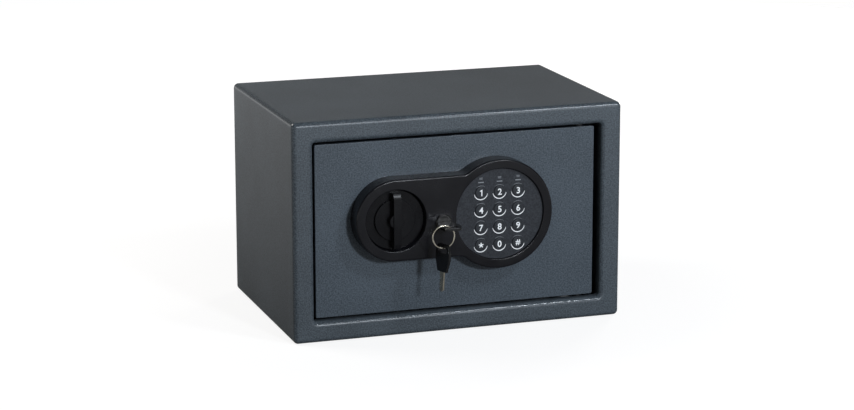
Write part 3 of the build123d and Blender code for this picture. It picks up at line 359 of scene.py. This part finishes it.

# %% [markdown]
# ## Dress the imported parts
# The record says which finish each part takes, so one loop dresses all of them. Their meshes stay as they
# are: only the material slot changes. The hinge pins, brackets and sleeves are black steel and black
# acetal, and their black is also painted shade: it keeps them a dark line in the door's gap, where they
# would otherwise catch the light.

# %% A finish on every part
record = frame["record"]
for row in record["subparts"]:
    part = nodes[row["node"]]
    part.data.materials.clear()
    part.data.materials.append(finish_of[row["material_slot"]])
# Painted shade: the pins, brackets and sleeves are made black so that the door's gap stays dark round
# them.
black_steel_and_gap_shade = grained("black_oxide_on_steel_pins", "0C0D0E", "1B1C1E", 6, 0.42, 0.8, 0.01, Metallic=1.0)
black_acetal_and_gap_shade = grained("acetal_black_turned_sleeve", "0E0E0F", "1A1A1B", 8, 0.4, 0.7, 0.01)
darkened_for_gap_shade = {"hinge_pins": black_steel_and_gap_shade, "hinge_brackets": black_steel_and_gap_shade, "hinge_sleeves": black_acetal_and_gap_shade}
for name, finish in darkened_for_gap_shade.items():
    nodes[name].data.materials[0] = finish
print("dressed", len(record["subparts"]), "parts")

# %% [markdown]
# ## Two trees for what repeats
# The half rings round the keys, the painted highlights over them and the small dashes all repeat on a
# grid, and the spring and the split ring both follow a spiral. Copies could be placed by hand, but a
# Geometry Nodes tree with named sizes makes every one from one drawing, and a changed pitch moves them
# all.
# The first tree sets a drawing on a grid, and the second winds a wire. What a tree makes, like text
# and like a mesh that is edited by hand, becomes a plain mesh before it is used as a piece.

# %% Plain meshes
def settled(holder):
    """The plain mesh that an object comes to with its modifiers. The object itself is removed."""
    bpy.context.scene.collection.objects.link(holder)
    ready = holder.evaluated_get(bpy.context.evaluated_depsgraph_get())
    mesh = bpy.data.meshes.new_from_object(ready)
    bpy.data.objects.remove(holder)
    return mesh


def edited(name, bed):
    """The plain mesh of a bmesh that is ready."""
    mesh = bpy.data.meshes.new(name)
    bed.to_mesh(mesh)
    bed.free()
    return mesh


def corners_of(mesh):
    """The lowest and the highest corner of a mesh's box."""
    return [Vector(map(pick, zip(*(point.co for point in mesh.vertices)))) for pick in (min, max)]


# %% A tree with named inputs
def start_tree(name, sizes):
    """A Geometry Nodes tree: its input and output nodes, with a named number for each size."""
    tree = bpy.data.node_groups.new(name, "GeometryNodeTree")
    tree.interface.new_socket("Geometry", in_out="OUTPUT", socket_type="NodeSocketGeometry")
    tree.interface.new_socket("Geometry", in_out="INPUT", socket_type="NodeSocketGeometry")
    for label, kind in sizes.items():
        tree.interface.new_socket(label, in_out="INPUT", socket_type="NodeSocket" + kind)
    return tree, tree.nodes.new("NodeGroupInput").outputs, tree.nodes.new("NodeGroupOutput").inputs


def grow(name, tree, drawing=None, **sizes):
    """Runs a tree on a drawing and returns its plain mesh. Underscores stand for spaces."""
    seed = bpy.data.objects.new("seed", drawing or bpy.data.meshes.new("seed"))
    modifier = seed.modifiers.new("tree", "NODES")
    modifier.node_group = tree
    for item in tree.interface.items_tree:
        label = item.name.replace(" ", "_").lower()
        if item.in_out == "INPUT" and label in sizes:
            modifier[item.identifier] = sizes[label]
    mesh = settled(seed)
    mesh.name = name
    mesh.materials.clear()
    mesh.materials.append(sizes["finish"])
    return mesh


# %% The grid tree
grid_tree, given, made = start_tree("drawing_on_a_grid", {
    "Columns": "Int", "Rows": "Int", "Column Pitch": "Float", "Row Pitch": "Float", "Finish": "Material"})


def width_of(pitch, count):
    """How wide a row of that many copies is."""
    gaps = add(grid_tree, "ShaderNodeMath", {0: count, 1: 1.0}, operation="SUBTRACT")
    wide = add(grid_tree, "ShaderNodeMath", {0: gaps.outputs[0], 1: pitch}, operation="MULTIPLY")
    return wide.outputs[0]


points = add(grid_tree, "GeometryNodeMeshGrid", {
    "Size X": width_of(given["Column Pitch"], given["Columns"]),
    "Size Y": width_of(given["Row Pitch"], given["Rows"]),
    "Vertices X": given["Columns"], "Vertices Y": given["Rows"]})
copies = add(grid_tree, "GeometryNodeInstanceOnPoints", {
    "Points": points.outputs[0], "Instance": given["Geometry"]})
real = add(grid_tree, "GeometryNodeRealizeInstances", {0: copies.outputs[0]})
finished = add(grid_tree, "GeometryNodeSetMaterial", {
    "Geometry": real.outputs[0], "Material": given["Finish"]})
grid_tree.links.new(finished.outputs[0], made[0])

# %% The wound wire tree
wire_tree, given, made = start_tree("wound_wire", {
    "Turns": "Float", "Start Radius": "Float", "End Radius": "Float", "Height": "Float",
    "Wire Width": "Float", "Flatness": "Float", "Finish": "Material"})
spiral = add(wire_tree, "GeometryNodeCurveSpiral", {
    "Resolution": 48, "Rotations": given["Turns"], "Start Radius": given["Start Radius"],
    "End Radius": given["End Radius"], "Height": given["Height"]})
upright = add(wire_tree, "GeometryNodeSetCurveNormal", {"Curve": spiral.outputs[0]})
if "Mode" in upright.inputs:
    upright.inputs["Mode"].default_value = "Z Up"
else:
    upright.mode = "Z_UP"
half_width = add(wire_tree, "ShaderNodeMath", {0: given["Wire Width"], 1: 0.5}, operation="MULTIPLY")
circle = add(wire_tree, "GeometryNodeCurvePrimitiveCircle", {
    "Resolution": 10, "Radius": half_width.outputs[0]})
squeeze = add(wire_tree, "ShaderNodeCombineXYZ", {"X": 1.0, "Y": given["Flatness"], "Z": 1.0})
section = add(wire_tree, "GeometryNodeTransform", {
    "Geometry": circle.outputs[0], "Scale": squeeze.outputs[0]})
wire = add(wire_tree, "GeometryNodeCurveToMesh", {
    "Curve": upright.outputs[0], "Profile Curve": section.outputs[0], "Fill Caps": True})
finished = add(wire_tree, "GeometryNodeSetMaterial", {
    "Geometry": wire.outputs[0], "Material": given["Finish"]})
wire_tree.links.new(finished.outputs[0], made[0])
print("trees", grid_tree.name, wire_tree.name)

# %% [markdown]
# A finished piece sits at the origin, with its place in its mesh, and rides on the body that it
# is fixed to. One helper does that for every piece below and says what it made.

# %% A finished piece
ROUND_BELOW = 40


def piece(name, mesh, body, slot, place=None, smooth=None, stands_for=()):
    """Puts a mesh at its place as a piece of that body. smooth is the sharpest angle shaded round."""
    if place:
        mesh.transform(place)
    if not mesh.materials or mesh.materials[0] is None:
        mesh.materials.clear()
        mesh.materials.append(finish_of[slot])
    if smooth:
        mesh.shade_smooth()
        mesh.set_sharp_from_angle(angle=math.radians(smooth))
    made = bpy.data.objects.new(name, mesh)
    bpy.context.scene.collection.objects.link(made)
    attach(made, body)
    if stands_for:
        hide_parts(*stands_for)
    print("piece", name, len(mesh.polygons), "faces on", body)
    return made


# %% [markdown]
# ## The print on the keypad
# Each key carries a white digit, and a white half ring lies round its lower half on the plate. The
# ink is silk-screened, a few hundredths of a millimetre thick and matt. The digits are Blender text
# made into a mesh, thickened a little because the print is bold, except the one and the star, which
# the font draws too plainly and which are cut out from their own outlines. Each rides on its own
# key, so it goes in when the key is pressed. The half rings are one drawing on the grid tree.

# %% White ink and the key grid
finish_of["white_ink"] = grained("silk_screen_ink_white", "DDDFE0", "F4F5F5", 4, 0.6, 0.6, 0.004)
# The grey is print on the dashes and window outlines, and a painted highlight on the arcs over the keys.
finish_of["grey_print_and_highlight_paint"] = grained("silk_screen_ink_grey", "6E7276", "85898D", 2, 0.6, 0.6, 0.004)
key_low, key_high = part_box("key_1")
corner_low, corner_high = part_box("key_hash")
COLUMNS, ROWS = 3, 4
first = (key_low + key_high) / 2 / MM
last = (corner_low + corner_high) / 2 / MM
middle = (first + last) / 2
column_pitch, row_pitch = (last.x - first.x) / (COLUMNS - 1), (first.z - last.z) / (ROWS - 1)
plate_height = (DOOR_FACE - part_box("keypad_faceplate")[0].y) / MM
key_height = (DOOR_FACE - key_low.y) / MM
print("keys every", round(column_pitch, 2), "by", round(row_pitch, 2), "mm")

# %% Digits
INK = 0.03
DIGIT_TALL = 5.8
SHARE_OF_DIGIT = {"#": 0.9}
BOLDER = 0.018


def text_mesh(words, tall, weight):
    """Text as a closed thin mesh in X and Y, centred, that many mm tall."""
    drawing = bpy.data.curves.new("text", "FONT")
    drawing.body = words
    drawing.size = 1.0
    drawing.offset = weight
    drawing.extrude = 0.5
    mesh = settled(bpy.data.objects.new("text", drawing))
    low, high = corners_of(mesh)
    size = tall * MM / (high.y - low.y)
    shrink = Matrix.Diagonal((size, size, INK * MM, 1))
    mesh.transform(shrink @ Matrix.Translation(-(low + high) / 2))
    return mesh


def cut_out(outline, tall):
    """A closed thin mesh in X and Y from an outline that is given for a height of one."""
    bed = bmesh.new()
    corners = [bed.verts.new((x * tall * MM, y * tall * MM, -INK / 2 * MM)) for x, y in outline]
    grown = bmesh.ops.extrude_face_region(bed, geom=[bed.faces.new(corners)])["geom"]
    front = [item for item in grown if isinstance(item, bmesh.types.BMVert)]
    bmesh.ops.translate(bed, verts=front, vec=(0, 0, INK * MM))
    bmesh.ops.triangulate(bed, faces=[f for f in bed.faces if len(f.verts) > 4])
    bmesh.ops.recalc_face_normals(bed, faces=bed.faces)
    return edited("cut_out", bed)


def star(arms, half_width, reach):
    """The outline of a star of straight arms: two corners at each arm's end and one between arms."""
    outline = []
    notch = half_width / math.sin(math.pi / arms)
    for number in range(arms):
        turn = Matrix.Rotation(2 * math.pi * number / arms, 2)
        between = Matrix.Rotation(2 * math.pi * (number + 0.5) / arms, 2)
        outline += [turn @ Vector((half_width, reach)), turn @ Vector((-half_width, reach)),
                    between @ Vector((0, notch))]
    return outline


flagged_one = [(0.0, -0.5), (0.17, -0.5), (0.17, 0.5), (0.03, 0.5), (-0.2, 0.33), (-0.2, 0.18),
               (0.0, 0.29)]
own_outline = {"1": flagged_one, "*": star(5, 0.085, 0.4)}
digit_of = {"key_star": "*", "key_hash": "#"} | {f"key_{n}": str(n) for n in range(10)}
for key, digit in digit_of.items():
    low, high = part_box(key)
    if digit in own_outline:
        mesh = cut_out(own_outline[digit], DIGIT_TALL)
    else:
        mesh = text_mesh(digit, DIGIT_TALL * SHARE_OF_DIGIT.get(digit, 1.0), BOLDER)
    mesh.materials.clear()
    mesh.materials.append(finish_of["white_ink"])
    centre = (low + high) / 2 / MM
    place = on_door(centre.x, centre.z, key_height + INK / 2)
    piece("digit_" + key[4:], mesh, key, "key_cap", place)


# %% Half rings, painted dome highlights and dashes
def strip(outline_in, outline_out, thick):
    """A closed flat strip between two lines of points, thick mm deep, in X and Y."""
    bed = bmesh.new()
    back, front = -thick / 2 * MM, thick / 2 * MM
    levels = (outline_in, back), (outline_out, back), (outline_out, front), (outline_in, front)
    rows = [[bed.verts.new((x * MM, y * MM, z)) for x, y in line] for line, z in levels]
    for a, b in zip(rows, rows[1:] + rows[:1]):
        for i in range(len(a) - 1):
            bed.faces.new((a[i], a[i + 1], b[i + 1], b[i]))
    for end in (0, -1):
        bed.faces.new([row[end] for row in rows])
    bmesh.ops.recalc_face_normals(bed, faces=bed.faces)
    return edited("strip", bed)


def half_ring(radius, width, start, sweep, thick=INK, steps=36):
    """An arc whose ends taper to a third of its width: angles in degrees from +X."""
    lines = [], []
    for i in range(steps + 1):
        share = i / steps
        angle = math.radians(start + sweep * share)
        half = width / 2 * (0.33 + 0.67 * math.sin(math.pi * share) ** 0.6)
        for line, edge in zip(lines, (radius - half, radius + half)):
            line.append((edge * math.cos(angle), edge * math.sin(angle)))
    return strip(*lines, thick)


def bar(width, height, rise):
    """A small bar, rise mm above the middle of its place."""
    return strip([(-width / 2, rise - height / 2), (width / 2, rise - height / 2)],
                 [(-width / 2, rise + height / 2), (width / 2, rise + height / 2)], INK)


def on_plate(name, drawing, ink, rows, z):
    """Puts a drawing in that finish over every column of keys, on that many rows round height z: print,
    or a painted highlight.
    """
    mesh = grow(name, grid_tree, drawing, columns=COLUMNS, rows=rows, column_pitch=column_pitch * MM,
                row_pitch=row_pitch * MM, finish=finish_of[ink])
    return piece(name, mesh, "door", "keypad_plastic", on_door(middle.x, z, plate_height + INK / 2))


window_low, window_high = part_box("indicator_windows")
window_z = (window_low.z + window_high.z) / 2 / MM
DASH_BELOW_WINDOW = 3.2
on_plate("half_rings", half_ring(6.35, 0.85, 190, 160), "white_ink", ROWS, middle.z)
# Painted highlight: a grey arc over the upper half of each key stands for light on the top edge of the
# key's embossed dome.
on_plate("raised_marks", half_ring(6.3, 0.35, 50, 80), "grey_print_and_highlight_paint", ROWS, middle.z)
on_plate("column_dashes", bar(5.2, 0.9, 0), "grey_print_and_highlight_paint", 1, window_z - DASH_BELOW_WINDOW)
on_plate("window_outlines", bar(3.4, 0.25, 1.0), "grey_print_and_highlight_paint", 1, window_z)

# %% [markdown]
# ## The split ring, the keys and the panel's edges
# The keys hang on a split ring: spring wire wound in two close turns, which shows as a fine line
# round the ring. A torus would lack that line, so the wire tree winds it. The key heads are moulded
# round the blade, with rounded edges that catch the light. Their exact outline is already in the
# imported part, so a merged copy of it gets a bevel, and the blades get a finer one. The panel gets
# one on its front edges and the knob on all that stand out of the door, where the mould was
# polished round. Smooth shading would bend the light over the wide flat faces beside a bevel, so
# the normals are weighted by area.

# %% Split ring
ring_low, ring_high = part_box("key_ring")
ring_thick = ring_high.y - ring_low.y
ring_outer = (ring_high.x - ring_low.x) / 2
FLATNESS = 0.31
ring_wire = ring_thick * 0.98
ring_radius = ring_outer - ring_wire / 2
mesh = grow("split_ring", wire_tree, turns=1.96, start_radius=ring_radius, end_radius=ring_radius,
            height=ring_thick * (1 - FLATNESS), wire_width=ring_wire, flatness=FLATNESS,
            finish=finish_of["ring_steel"])
low, high = corners_of(mesh)
print("ring as wound", [round((b - a) / MM, 2) for a, b in zip(low, high)], "mm")
to_middle = Matrix.Translation((0, 0, -(low.z + high.z) / 2))
hung = Matrix.Translation((ring_low + ring_high) / 2) @ Matrix.Rotation(math.radians(90), 4, "X")
piece("split_ring", mesh, "key_ring", "ring_steel", hung @ to_middle, ROUND_BELOW, ["key_ring"])


# %% Copies with rounded edges
# Points that lie within SEAM mm are one. The angles between two faces are in degrees.
SEAM = 0.002
FLAT_BELOW, EDGE_ABOVE, CREASE_ABOVE = 1, 30, 35


def rounded_copy(name, node, body, slot, width, segments, in_front_of=0.0):
    """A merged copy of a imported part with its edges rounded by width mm. It stands for the part.
    Only edges at least in_front_of mm in front of the door's face are rounded, if that is given."""
    bed = bmesh.new()
    bed.from_mesh(nodes[node].data)
    bmesh.ops.remove_doubles(bed, verts=bed.verts, dist=SEAM * MM)
    bmesh.ops.dissolve_limit(bed, angle_limit=math.radians(FLAT_BELOW), verts=bed.verts,
                             edges=bed.edges)
    sharp = math.radians(EDGE_ABOVE)
    edges = [e for e in bed.edges if e.is_manifold and e.calc_face_angle(0) > sharp]
    if in_front_of:
        limit = DOOR_FACE - in_front_of * MM
        edges = [e for e in edges if max(v.co.y for v in e.verts) < limit]
    bmesh.ops.bevel(bed, geom=edges, offset=width * MM, segments=segments, profile=0.5,
                    affect="EDGES", clamp_overlap=True)
    bmesh.ops.triangulate(bed, faces=[f for f in bed.faces if len(f.verts) > 4])
    rough = edited(name, bed)
    rough.shade_smooth()
    rough.set_sharp_from_angle(angle=math.radians(CREASE_ABOVE))
    holder = bpy.data.objects.new("holder", rough)
    weighted = holder.modifiers.new("flat faces stay flat", "WEIGHTED_NORMAL")
    weighted.keep_sharp = True
    return piece(name, settled(holder), body, slot, stands_for=[node])


rounded_copy("key_head_moulded", "key_head", "lock_plug", "key_plastic", 0.55, 4)
rounded_copy("spare_key_head_moulded", "spare_key_head", "spare_key", "key_plastic", 0.55, 4)
rounded_copy("panel_moulded", "escutcheon", "door", "panel_plastic", 0.8, 4, in_front_of=17.5)
rounded_copy("knob_moulded", "knob", "knob", "knob_plastic", 0.5, 3, in_front_of=0.01)
rounded_copy("key_blade_cut", "key_blade", "lock_plug", "key_brass", 0.12, 2)
rounded_copy("spare_key_blade_cut", "spare_key_blade", "spare_key", "key_brass", 0.12, 2)

# %% [markdown]
# ## The felt mat
# A needled felt mat lies loose on the cabinet's floor so that nothing is scratched. It is 2 mm thick
# and cut to 300 by 181 mm, with two holes over the floor anchors. A box would look like board: felt
# lies a little uneven and its cut edge is soft. So it is a grid of small squares that is cut away at
# the holes, given a thickness and low noise on its top, and rounded at its edge. It is drawn in mm.

# %% Felt mat
mat_low, mat_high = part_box("floor_mat")
MAT_CELL, HOLE, CORNER, SOFT = 3.0, 9.0, 3.5, 0.45
UNEVEN, UNEVEN_EVERY = 0.12, 14
RIM_ABOVE = 50
mat_wide, mat_long = (mat_high.x - mat_low.x) / MM, (mat_high.y - mat_low.y) / MM
mat_middle = (mat_low + mat_high) / 2 / MM
hole_places = [Vector((x, 30.0)) for x in (-75.0, 75.0)]
columns, rows = round(mat_wide / MAT_CELL), round(mat_long / MAT_CELL)
bed = bmesh.new()
bmesh.ops.create_grid(bed, x_segments=columns, y_segments=rows, size=0.5)
for point in bed.verts:
    point.co = Vector((point.co.x * mat_wide + mat_middle.x, point.co.y * mat_long + mat_middle.y, 0))
    corner = Vector((mat_wide / 2 - CORNER, mat_long / 2 - CORNER))
    out = Vector((abs(point.co.x - mat_middle.x), abs(point.co.y - mat_middle.y))) - corner
    if out.x > 0 and out.y > 0 and out.length > CORNER:
        shift = out * (CORNER / out.length - 1)
        point.co.x += math.copysign(shift.x, point.co.x - mat_middle.x)
        point.co.y += math.copysign(shift.y, point.co.y - mat_middle.y)
inside = []
for face in bed.faces:
    centre = face.calc_center_median().xy
    if min((centre - hole).length for hole in hole_places) < HOLE:
        inside.append(face)
bmesh.ops.delete(bed, geom=inside, context="FACES")
for point in bed.verts:
    hole = min(hole_places, key=lambda place: (point.co.xy - place).length)
    arm = point.co.xy - hole
    if arm.length < HOLE + MAT_CELL and any(edge.is_boundary for edge in point.link_edges):
        point.co.xy = hole + arm * (HOLE / arm.length)
grown = bmesh.ops.extrude_face_region(bed, geom=bed.faces[:])["geom"]
thick = (mat_high.z - mat_low.z) / MM
for item in grown:
    if isinstance(item, bmesh.types.BMVert):
        item.co.z = thick - UNEVEN + UNEVEN * noise.noise(item.co / UNEVEN_EVERY)
bmesh.ops.recalc_face_normals(bed, faces=bed.faces)
sharp = math.radians(RIM_ABOVE)
rim = [edge for edge in bed.edges if edge.is_manifold and edge.calc_face_angle(0) > sharp]
bmesh.ops.bevel(bed, geom=rim, offset=SOFT, segments=2, profile=0.5, affect="EDGES",
                clamp_overlap=True)
for point in bed.verts:
    point.co = Vector((point.co.x, point.co.y, point.co.z + mat_low.z / MM)) * MM
felt_mat = piece("felt_mat", edited("felt_mat", bed), "cabinet", "floor_mat", None, ROUND_BELOW,
                 ["floor_mat"])
print("mat", round(mat_wide, 1), "by", round(mat_long, 1), "mm")

# %% [markdown]
# ## The blocker's spring
# A compression spring pushes the blocker's plunger out. It is music wire, wound by the same tree as
# the split ring, with more turns and a round section in place of the ring's flattened one.

# %% Blocker spring
sleeve_low, sleeve_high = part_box("blocker_spring")
sleeve_radius = (sleeve_high.x - sleeve_low.x) / 2
SPRING_WIRE = 0.6 * MM
spring_radius = sleeve_radius - SPRING_WIRE / 2
spring_height = sleeve_high.z - sleeve_low.z - SPRING_WIRE
mesh = grow("spring", wire_tree, turns=6.0, start_radius=spring_radius, end_radius=spring_radius,
            height=spring_height, wire_width=SPRING_WIRE, flatness=1.0, finish=finish_of["screw_steel"])
foot = (sleeve_low + sleeve_high) / 2
foot.z = sleeve_low.z + SPRING_WIRE / 2
piece("blocker_spring_wound", mesh, "blocker", "screw_steel", Matrix.Translation(foot), ROUND_BELOW,
      ["blocker_spring"])

# %% [markdown]
# ## Studio
# The photograph shows the safe on white. Its light looks like that of three soft boxes: a small one
# in front, which draws the shadows on the door, one high at the right, which draws the bright lines
# on every rounded edge, and one near the left side, whose light fades downwards. A fourth stands
# behind at the right, so that the back can be judged too. The surroundings are a plain dark grey
# that turns white at the horizon. The floor keeps the soft shadow near the object and glows a little
# more the further out it lies, so that it ends in plain white. The camera sees that glow, and gloss
# sees a weaker one near the object.

# %% World and floor
world = bpy.data.worlds.new("studio")
bpy.context.scene.world = world
world.use_nodes = True
tree = world.node_tree
towards = add(tree, "ShaderNodeTexCoord").outputs["Generated"]
rise = add(tree, "ShaderNodeSeparateXYZ", {"Vector": towards}).outputs["Z"]
level = add(tree, "ShaderNodeMapRange", {"Value": rise, "From Min": 0.06, "From Max": 0.15,
                                         "To Min": 1.0, "To Max": 0.13}, interpolation_type="SMOOTHSTEP")
tree.nodes["Background"].inputs["Color"].default_value = (1, 1, 1, 1)
tree.links.new(level.outputs["Result"], tree.nodes["Background"].inputs["Strength"])

paper, tree, shader, place = start_material("white_paper_floor", "808080", 0.9, Specular_IOR_Level=0.1)
path = add(tree, "ShaderNodeLightPath").outputs
by_camera = path["Is Camera Ray"]
by_gloss = add(tree, "ShaderNodeMath", {0: by_camera, 1: path["Is Glossy Ray"]}, operation="MAXIMUM")
seen = add(tree, "ShaderNodeMath", {
    0: by_gloss.outputs[0], 1: path["Is Transmission Ray"]}, operation="MAXIMUM")
away = add(tree, "ShaderNodeVectorMath", {0: place}, operation="LENGTH").outputs["Value"]
near = add(tree, "ShaderNodeMath", {0: by_camera, 1: 0.78, 2: 0.05}, operation="MULTIPLY_ADD")
reach = add(tree, "ShaderNodeMath", {0: by_camera, 1: -1.7, 2: 2.5}, operation="MULTIPLY_ADD")
lift = add(tree, "ShaderNodeMapRange", {"Value": away, "From Min": 0.25, "From Max": reach.outputs[0],
                                        "To Min": near.outputs[0], "To Max": 0.95})
shown = add(tree, "ShaderNodeMath", {0: seen.outputs[0], 1: lift.outputs["Result"]}, operation="MULTIPLY")
shader.inputs["Emission Color"].default_value = (1, 1, 1, 1)
tree.links.new(shown.outputs[0], shader.inputs["Emission Strength"])
bed = bmesh.new()
bmesh.ops.create_circle(bed, cap_ends=True, radius=8.0, segments=64)
floor_mesh = edited("floor", bed)
floor_mesh.materials.append(paper)
floor = bpy.data.objects.new("floor", floor_mesh)
floor_mesh.transform(Matrix.Translation((0, 0, cad_low.z - 0.2 * MM)))
bpy.context.scene.collection.objects.link(floor)
floor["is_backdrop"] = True


# %% Lamps
def soft_box(name, size, place, aim, level, colour):
    """A square lamp at place that points at aim, where it gives that level of full light."""
    data = bpy.data.lights.new(name, "AREA")
    data.size = size
    away = Vector(place) - Vector(aim)
    data.energy = math.pi ** 2 * away.length_squared * level
    data.color = colour
    lamp = bpy.data.objects.new(name, data)
    lamp.location = place
    lamp.rotation_euler = away.to_track_quat("Z", "Y").to_euler()
    bpy.context.scene.collection.objects.link(lamp)
    print("lamp", name, "watts", round(data.energy, 1))


COOL, WARM = (0.9, 0.96, 1.04), (1.04, 1.0, 0.96)
soft_box("key_light", 0.16, (0.3, -1.75, 0.6), (0, -0.1, 0.1), 0.59, COOL)
soft_box("high_light", 0.17, (0.55, -0.95, 1.0), (0.05, -0.1, 0.1), 0.33, COOL)
soft_box("side_light", 0.3, (-0.52, 0.22, 0.56), (-0.155, 0.05, 0.15), 0.7, WARM)
soft_box("back_light", 0.5, (1.3, 1.3, 0.25), (0.05, 0.0, 0.1), 0.5, WARM)

# %% The object's size
low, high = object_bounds()
import json
